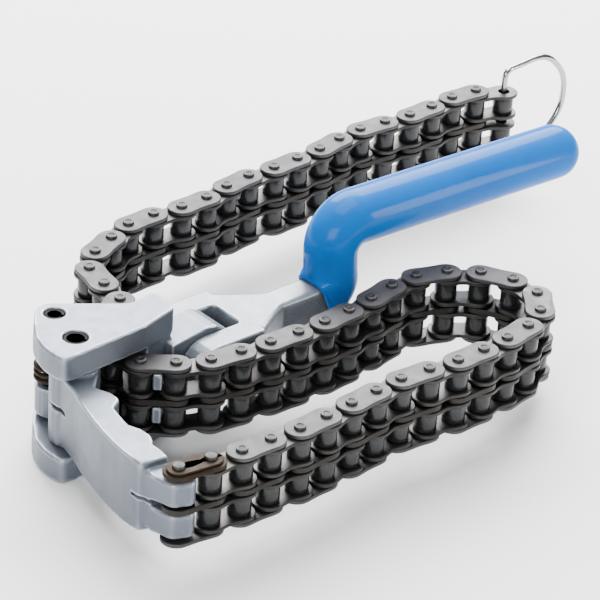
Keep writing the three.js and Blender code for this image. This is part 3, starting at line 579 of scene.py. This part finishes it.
def meet(start_a, run_a, start_b, run_b):
    """Two runs hung from fixed pins are swung until their ends meet."""
    a = walk(start_a, run_a)
    b = walk(start_b, run_b)
    reach_a = a[-1] - start_a
    reach_b = b[-1] - start_b
    base = start_b - start_a
    excess = reach_a.length_squared + base.length_squared - reach_b.length_squared
    cosine = excess / (2 * reach_a.length * base.length)
    bearing = math.atan2(base.y, base.x) - math.acos(cosine)
    apex = on_bearing(start_a, bearing, reach_a.length)
    to_apex = apex - start_b
    turn_a = bearing - math.atan2(reach_a.y, reach_a.x)
    turn_b = math.atan2(to_apex.y, to_apex.x) - math.atan2(reach_b.y, reach_b.x)
    return turned(a, start_a, turn_a), turned(b, start_b, turn_b)


CHAIN_START = on_bearing((0, 0), math.radians(JAW_LEAN) - math.pi / 2, JAW_LENGTH)
LOOP_PINS, RETURN_PINS = meet(CHAIN_START, LOOP_HEADINGS, HELD_LINK_AT, RETURN_HEADINGS)
BACK_PINS = walk(HELD_LINK_AT, BACK_HEADINGS)


def link_piece(number, joint, outer_end, inner_end, open_pivot=False, clip=False, last=None):
    """An outer link and the inner link that turns with it; the last pair has one more inner link."""
    bm = bmesh.new()
    inner_link(bm, joint, inner_end)
    shafts = [joint] if open_pivot else [joint, outer_end]
    outer_link(bm, joint, outer_end, shafts, clip=clip)
    if last is not None:
        inner_link(bm, outer_end, last)
    label = f"link_{number:02d}"
    piece(f"{label}_steel", bm, LINK_MATERIALS, label, [f"chain_{label}"])


def clip_piece():
    """The spring clip: a flat loop pinched between the two pins, open at one end."""
    joint = LOOP_PINS[1]
    far = LOOP_PINS[0]
    along = far - joint
    turn = Matrix.Rotation(math.atan2(along.y, along.x), 2)
    hold = LINK_PIN_D / 2 + CLIP_HOLD_GAP
    hold_turn = math.radians(CLIP_HOLD_TURN)
    split = math.radians(CLIP_SPLIT_TURN)
    steps = 8
    here = Vector((0, 0))
    there = Vector((PITCH, 0))
    quarter = math.pi / 2

    def outline(inset):
        upper = [
            *arc(here, CLIP_HALF - inset, quarter, math.pi - split, steps),
            *arc(here, hold + inset, math.pi - split * CLIP_FLARE_SHARE, hold_turn, steps + 1),
            *[Vector((x, y + inset)) for x, y in CLIP_PINCH],
            *arc(there, hold + inset, math.radians(180 - CLIP_HOLD_TURN), 0, steps + 1),
        ]
        lower = [Vector((p.x, -p.y)) for p in reversed(upper)]
        return [*arc(there, CLIP_HALF - inset, -quarter, quarter, 2 * steps), *upper, *lower[1:]]

    low = OUTER_TOP + CLIP_SEAT_GAP
    high = low + CLIP_THICK
    edge = CLIP_EDGE
    bm = bmesh.new()
    rings = []
    for inset, level in ((edge, low), (0, low + edge), (0, high - edge), (edge, high)):
        rings.append([(*(joint + turn @ p), level) for p in outline(inset)])
    skin(bm, rings, 0)
    bmesh.ops.triangulate(bm, faces=[f for f in bm.faces if len(f.verts) > 4])
    piece("clip_spring", bm, [OILED], "link_01", ["spring_clip"])


for i in range(0, len(LOOP_PINS) - 2, 2):
    link_piece(i // 2 + 1, LOOP_PINS[i + 1], LOOP_PINS[i], LOOP_PINS[i + 2], clip=i == 0)
clip_piece()
for number, i in enumerate(range(len(RETURN_PINS) - 3, -1, -2), OPENED_LINK):
    opened = number == OPENED_LINK
    link_piece(number, RETURN_PINS[i + 1], RETURN_PINS[i + 2], RETURN_PINS[i], open_pivot=opened)
held = bmesh.new()
outer_link(held, BACK_PINS[0], BACK_PINS[1], [BACK_PINS[0], BACK_PINS[1]])
piece("link_15_steel", held, LINK_MATERIALS, "head", ["chain_link_15"])
for number, i in enumerate(range(1, len(BACK_PINS) - 4, 2), HELD_LINK + 1):
    link_piece(number, BACK_PINS[i + 1], BACK_PINS[i + 2], BACK_PINS[i])
link_piece(LAST_LINK, BACK_PINS[-3], BACK_PINS[-2], BACK_PINS[-4], last=BACK_PINS[-1])


# Roll pins in the head
def roll_pin(name, at, diameter, node):
    """A rolled pin with its slot."""
    bm = bmesh.new()
    slot_bearing = math.radians(ROLL_PIN_TURN)
    half = HEAD_HALF - ROLL_PIN_RECESS
    edge = ROLL_PIN_EDGE
    steps = 40

    def outline(inset):
        outer = diameter / 2 - inset
        inner = diameter / 2 - ROLL_PIN_WALL + inset
        gap = ROLL_PIN_SLOT / 2 + inset / 2
        start = slot_bearing + math.asin(gap / outer)
        inner_start = slot_bearing + math.asin(gap / inner)
        full = 2 * math.pi + 2 * slot_bearing
        return [
            *arc(at, outer, start, full - start, steps),
            *arc(at, inner, full - inner_start, inner_start, steps),
        ]

    rings = []
    for inset, level in ((edge, -half), (0, edge - half), (0, half - edge), (edge, half)):
        rings.append([(*p, level) for p in outline(inset)])
    skin(bm, rings, 0)
    bmesh.ops.triangulate(bm, faces=[f for f in bm.faces if len(f.verts) > 4])
    piece(name, bm, [PIN], "head", [node])


roll_pin("jaw_roll_pin", Vector((0, 0)), JAW_PIN_D, "jaw_pin")
roll_pin("keeper_roll_pin", KEEPER_PIN_AT, KEEPER_PIN_D, "keeper_pin")


# Torsion spring
def spring_piece():
    """One tube of round curls whose ends run straight for one wire diameter."""
    rise = SPRING_WIRE + SPRING_CURL_GAP
    room = SPRING_CURLS * rise + SPRING_WIRE + 2 * FIT_GAP
    base = THROAT_HALF - KEEPER_TOP_GAP - KEEPER_TOP_HEIGHT - room + FIT_GAP + SPRING_WIRE / 2
    radius = (SPRING_OD - SPRING_WIRE) / 2
    steps = 36
    sides = 12
    start = -math.pi / 2
    places = []
    for i in range(SPRING_CURLS * steps + 1):
        turn = start + 2 * math.pi * i / steps
        places.append((on_bearing(KEEPER_PIN_AT, turn, radius), turn, base + rise * i / steps))
    first, last = places[0], places[-1]
    places.insert(0, (on_bearing(first[0], first[1] - math.pi / 2, SPRING_WIRE), first[1], first[2]))
    places.append((on_bearing(last[0], last[1] + math.pi / 2, SPRING_WIRE), last[1], last[2]))
    rings = []
    for at, turn, level in places:
        ring = []
        for s in range(sides):
            angle = 2 * math.pi * s / sides
            flat = on_bearing(at, turn, math.sin(angle) * SPRING_WIRE / 2)
            ring.append((*flat, level + math.cos(angle) * SPRING_WIRE / 2))
        rings.append(ring)
    bm = bmesh.new()
    skin(bm, rings, 0)
    piece("keeper_spring", bm, [OILED], "head", ["torsion_spring"], sharp=50)


spring_piece()


# Handle sections
def super_ellipse(half_width, half_height, power, sides):
    """An ellipse at power 2, and ever squarer above it."""
    points = []
    for i in range(sides):
        angle = 2 * math.pi * (i + 0.5) / sides
        c, s = math.cos(angle), math.sin(angle)
        points.append((
            half_width * math.copysign(abs(c) ** (2 / power), c),
            half_height * math.copysign(abs(s) ** (2 / power), s),
        ))
    return points


def section_at(place, slope, centre_y, outline):
    """An outline stood square to a route in the upright plane."""
    up = Vector((-math.sin(slope), 0, math.cos(slope)))
    return [Vector((place[0], centre_y + across, place[1])) + up * rise for across, rise in outline]


def blend(low, high, share):
    return low + (high - low) * share


def bend(before, at, after):
    """A circular bend of the bar between two straight runs: place and slope by share of its turn."""
    way = at - before
    onward = after - at
    begin = math.atan2(way.y, way.x)
    turn = (math.atan2(onward.y, onward.x) - begin + math.pi) % (2 * math.pi) - math.pi
    side = math.copysign(1, turn)
    start = on_bearing(at, begin + math.pi, CRANK_R * math.tan(abs(turn) / 2))

    def place(share):
        slope = begin + turn * share
        x = start.x + side * CRANK_R * (math.sin(slope) - math.sin(begin))
        z = start.y - side * CRANK_R * (math.cos(slope) - math.cos(begin))
        return Vector((x, z)), slope

    return place, CRANK_R * abs(turn)


def grip_outline(turned_share, more, sides):
    """The sleeve's section: squared over the neck, round along the grip."""
    return super_ellipse(
        blend(NECK_WIDTH / 2 + GRIP_WALL, GRIP_D / 2, turned_share) + more,
        blend(NECK_HEIGHT / 2 + GRIP_WALL, GRIP_RISE, turned_share) + more,
        blend(GRIP_START_POWER, 2, turned_share),
        sides,
    )


def grip_piece():
    """The dipped sleeve: mouth and lip on the neck, the crank, the long part and its dome."""
    sides = 64
    steps = 20
    low, low_length = bend(Vector((FORK_END, CRANK_LOW.y)), CRANK_LOW, CRANK_HIGH)
    high, _ = bend(CRANK_LOW, CRANK_HIGH, BAR_END)
    rings = []

    def low_ring(ahead, more):
        share = GRIP_START_SHARE + ahead / low_length
        at, slope = low(share)
        turned_share = max(0, (share - GRIP_START_SHARE) / (1 - GRIP_START_SHARE))
        rings.append(section_at(at, slope, NECK_Y, grip_outline(turned_share, more, sides)))

    for ahead, more in GRIP_MOUTH:
        low_ring(ahead, more - GRIP_WALL)
    for ahead, more in GRIP_LIP:
        low_ring(ahead, more - GRIP_EASE)
    rest = low_length * (1 - GRIP_START_SHARE)
    for i in range(steps + 1):
        low_ring(blend(GRIP_LIP_END, rest, i / steps), -GRIP_EASE)
    for i in range(steps + 1):
        at, slope = high(i / steps)
        outline = grip_outline(1, blend(-GRIP_EASE, 0, i / steps), sides)
        rings.append(section_at(at, slope, NECK_Y, outline))
    _, lie = high(1)
    rings.append(section_at(BAR_END, lie, NECK_Y, grip_outline(1, 0, sides)))
    dome = GRIP_D / 2
    dome_steps = 14
    for i in range(dome_steps):
        angle = math.pi / 2 * i / dome_steps
        size = math.cos(angle)
        at = on_bearing(BAR_END, lie, GRIP_OVERHANG - dome + dome * math.sin(angle))
        outline = super_ellipse(GRIP_D / 2 * size, GRIP_RISE * size, 2, sides)
        rings.append(section_at(at, lie, NECK_Y, outline))
    bm = bmesh.new()
    skin(bm, rings, 0)
    piece("grip_vinyl", bm, [VINYL], "handle", ["grip"], sharp=60)


grip_piece()


# Cast and forged pieces: the solids with every edge softened
def settle(made):
    """The object's modifiers become its mesh."""
    graph = bpy.context.evaluated_depsgraph_get()
    made.data = bpy.data.meshes.new_from_object(made.evaluated_get(graph))
    made.modifiers.clear()


def soften_edges(made, edges):
    """Melts the upright edges that stand near the given points of the plan."""
    reach = MELT_REACH * MM
    group = made.vertex_groups.new(name="melted")
    for vertex in made.data.vertices:
        gap = min((vertex.co.xy - Vector(edge) * MM).length for edge in edges)
        if gap < reach:
            group.add([vertex.index], 1 - gap / reach, "REPLACE")
    melt = made.modifiers.new("melt", "SMOOTH")
    melt.factor = SMOOTH_FACTOR
    melt.iterations = MELT_ROUNDS
    melt.vertex_group = group.name
    settle(made)


def softened(name, node, body, material, voxel, rounds, melted=(), cutter=None):
    """A copy of a solid with its edges smoothed, some of them melted further, and a cut made last."""
    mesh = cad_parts[node].data.copy()
    mesh.materials.clear()
    mesh.materials.append(material)
    made = bpy.data.objects.new(name, mesh)
    bpy.context.scene.collection.objects.link(made)
    remesh = made.modifiers.new("remesh", "REMESH")
    remesh.mode = "VOXEL"
    remesh.voxel_size = voxel
    remesh.use_smooth_shade = True
    smooth = made.modifiers.new("smooth", "SMOOTH")
    smooth.factor = SMOOTH_FACTOR
    smooth.iterations = rounds
    settle(made)
    if melted:
        soften_edges(made, melted)
    if cutter:
        cut = made.modifiers.new("cut", "BOOLEAN")
        cut.operation = "DIFFERENCE"
        cut.solver = "EXACT"
        cut.object = cutter
        settle(made)
        made.data.set_sharp_from_angle(angle=math.radians(CUT_SHARP_ANGLE))
        bpy.data.objects.remove(cutter)
    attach(made, body)
    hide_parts(node)


def slit_runout():
    """The milled slit for the centre plate runs out along the jaw's outer face."""
    bm = bmesh.new()
    root = -JAW_LENGTH + OUTER_PLATE_WIDTH / 2
    turn = Matrix.Rotation(math.radians(JAW_LEAN), 2)
    outline = [turn @ Vector((x, root + y)) for x, y in RUNOUT_OUTLINE]
    rings = [[(*p, level) for p in outline] for level in (-RUNOUT_HALF, RUNOUT_HALF)]
    skin(bm, rings, 0, smooth=False)
    bmesh.ops.recalc_face_normals(bm, faces=bm.faces)
    mesh = bpy.data.meshes.new("slit_runout")
    bm.to_mesh(mesh)
    bm.free()
    made = bpy.data.objects.new("slit_runout", mesh)
    bpy.context.scene.collection.objects.link(made)
    return made


softened(
    "head_cast", "head_casting", "head", CAST, CASTING_VOXEL,
    rounds=5, melted=HEAD_MELTED,
)
softened(
    "jaw_cast", "jaw", "jaw", CAST, CASTING_VOXEL,
    rounds=6, melted=JAW_MELTED, cutter=slit_runout(),
)
softened("keeper_cast", "keeper", "keeper", CAST, KEEPER_VOXEL, rounds=4)
softened("handle_forging", "handle_bar", "handle", FORGED, FORGING_VOXEL, rounds=5)


# Cross pin of the fork
def flex_pin_piece():
    """The cross pin of the handle's hinge."""
    radius = FLEX_PIN_D / 2
    edge = FLEX_PIN_EDGE
    near = FORK_Y - FORK_HALF + FIT_GAP
    far = FORK_Y + FORK_HALF - FIT_GAP
    sides = 40
    rings = []
    profile = [(radius - edge, near), (radius, near + edge), (radius, far - edge), (radius - edge, far)]
    for size, y in profile:
        ring = []
        for i in range(sides):
            angle = 2 * math.pi * i / sides
            ring.append((FLEX_X + size * math.sin(angle), y, FLEX_Z + size * math.cos(angle)))
        rings.append(ring)
    bm = bmesh.new()
    skin(bm, rings, 0)
    piece("hinge_pin", bm, [PIN], "handle", ["flex_pin"])


flex_pin_piece()


# Pull ring
def rounded(corners, steps):
    """A closed path with a curve at each corner."""
    path = []
    for i, (point, radius) in enumerate(corners):
        before = corners[i - 1][0]
        after = corners[(i + 1) % len(corners)][0]
        back = before - point
        ahead = after - point
        half = abs(back.angle(ahead)) / 2
        room = min(back.length, ahead.length) * RING_CORNER_SHARE
        reach = min(radius / math.tan(half), room)
        start = point + back.normalized() * reach
        end = point + ahead.normalized() * reach
        for share in [s / steps for s in range(steps + 1)]:
            path.append(start * (1 - share) ** 2 + point * 2 * share * (1 - share) + end * share ** 2)
    return path


def ring_piece():
    """A D of bright wire whose straight side passes through the end bush."""
    rise = RING_TOP - RING_BOTTOM

    def at(x, share):
        return Vector((x * RING_REACH, RING_BOTTOM + rise * share))

    end_bend = RING_WIRE * RING_END_BEND_SHARE
    bow = [(at(x, share), RING_REACH / 2) for x, share in RING_BOW_SHARES]
    path = rounded([(at(0, 0), end_bend), *bow, (at(0, 1), end_bend)], steps=10)
    wire = super_ellipse(RING_WIRE / 2, RING_WIRE / 2, power=2, sides=16)
    place = BACK_PINS[-1]
    rings = []
    for i, point in enumerate(path):
        way = path[(i + 1) % len(path)] - path[i - 1]
        slope = math.atan2(way.y, way.x)
        rings.append(section_at((point.x + place.x, point.y), slope, place.y, wire))
    bm = bmesh.new()
    skin(bm, rings, 0, loop=True)
    piece("pull_wire", bm, [WIRE], "ring", ["pull_ring"], sharp=60)


ring_piece()


# Floor
FLOOR_REACH = 4
FLOOR_DROP = 0.0003


def floor_piece():
    """A pale floor under the part."""
    surface = Surface("floor_pale", (0.86, 0.86, 0.86), 0.7, 0.0)
    tone = surface.ramp(surface.noise(3, detail=2), [(0.3, (0.85, 0.85, 0.85)), (0.7, (0.88, 0.88, 0.88))])
    surface.link(tone, surface.shader.inputs["Base Color"])
    reach = FLOOR_REACH
    corners = [(-reach, -reach, 0), (reach, -reach, 0), (reach, reach, 0), (-reach, reach, 0)]
    mesh = bpy.data.meshes.new("floor")
    mesh.from_pydata(corners, [], [(0, 1, 2, 3)])
    mesh.materials.append(surface.material)
    floor = bpy.data.objects.new("floor", mesh)
    floor.location.z = -FLOOR_DROP
    bpy.context.scene.collection.objects.link(floor)


floor_piece()


# Light: each lamp's place in metres, its size and its power
CENTRE_OF_PART = (0.1, 0.0, 0.03)
LAMPS = {
    "behind": ((0.85, 0.95, 0.95), (1.5, 1.0), 110),
    "overhead": ((0.1, 0.15, 1.4), (1.0, 1.0), 24),
    "front": ((-0.9, -0.6, 0.6), (0.7, 0.5), 12),
    "strip_right": ((0.75, -0.75, 0.2), (0.16, 0.5), 5),
}
SKY_LOW = (0.05, (0.06, 0.062, 0.066, 1))
SKY_HIGH = (0.8, (1, 1, 1, 1))
SKY_STRENGTH = 0.7


def area_light(name, place, size, energy):
    """A rectangular lamp that faces the middle of the part."""
    data = bpy.data.lights.new(name, "AREA")
    data.shape = "RECTANGLE"
    data.size, data.size_y = size
    data.energy = energy
    light = bpy.data.objects.new(name, data)
    light.location = place
    light.rotation_euler = (Vector(CENTRE_OF_PART) - Vector(place)).to_track_quat("-Z", "Y").to_euler()
    bpy.context.scene.collection.objects.link(light)


def studio_world():
    """A sky that brightens with height."""
    world = bpy.data.worlds.new("studio")
    world.use_nodes = True
    bpy.context.scene.world = world
    tree = world.node_tree
    background = tree.nodes["Background"]
    coordinates = tree.nodes.new("ShaderNodeTexCoord")
    split = tree.nodes.new("ShaderNodeSeparateXYZ")
    shade = tree.nodes.new("ShaderNodeValToRGB")
    for element, (position, color) in zip(shade.color_ramp.elements, (SKY_LOW, SKY_HIGH)):
        element.position = position
        element.color = color
    tree.links.new(coordinates.outputs["Generated"], split.inputs[0])
    tree.links.new(split.outputs["Z"], shade.inputs["Fac"])
    tree.links.new(shade.outputs["Color"], background.inputs["Color"])
    background.inputs["Strength"].default_value = SKY_STRENGTH


for lamp, (place, size, energy) in LAMPS.items():
    area_light(lamp, place, size, energy)
studio_world()


# Camera at the photograph's angle: place in metres, heading in the plan, pitch and roll in radians
CAMERA_AT = (-0.6236, -0.7889, 0.6417)
CAMERA_HEADING = (0.669, 0.743, 0)
CAMERA_PITCH = math.radians(29.94)
CAMERA_ROLL = 0.06
CAMERA_LENS = 196.5
CAMERA_SENSOR = 36
CAMERA_CLIP_END = 20


def add_camera():
    upright = Vector((0, 0, 1))
    ahead = Vector(CAMERA_HEADING).normalized()
    forward = ahead * math.cos(CAMERA_PITCH) - upright * math.sin(CAMERA_PITCH)
    right_level = Vector((ahead.y, -ahead.x, 0))
    up_level = ahead * math.sin(CAMERA_PITCH) + upright * math.cos(CAMERA_PITCH)
    right = right_level * math.cos(CAMERA_ROLL) + up_level * math.sin(CAMERA_ROLL)
    up = up_level * math.cos(CAMERA_ROLL) - right_level * math.sin(CAMERA_ROLL)
    data = bpy.data.cameras.new("camera")
    data.sensor_width = CAMERA_SENSOR
    data.lens = CAMERA_LENS
    data.clip_end = CAMERA_CLIP_END
    camera = bpy.data.objects.new("camera", data)
    turn = Matrix((right, up, -forward)).transposed()
    camera.matrix_world = Matrix.Translation(CAMERA_AT) @ turn.to_4x4()
    bpy.context.scene.collection.objects.link(camera)
    bpy.context.scene.camera = camera


add_camera()
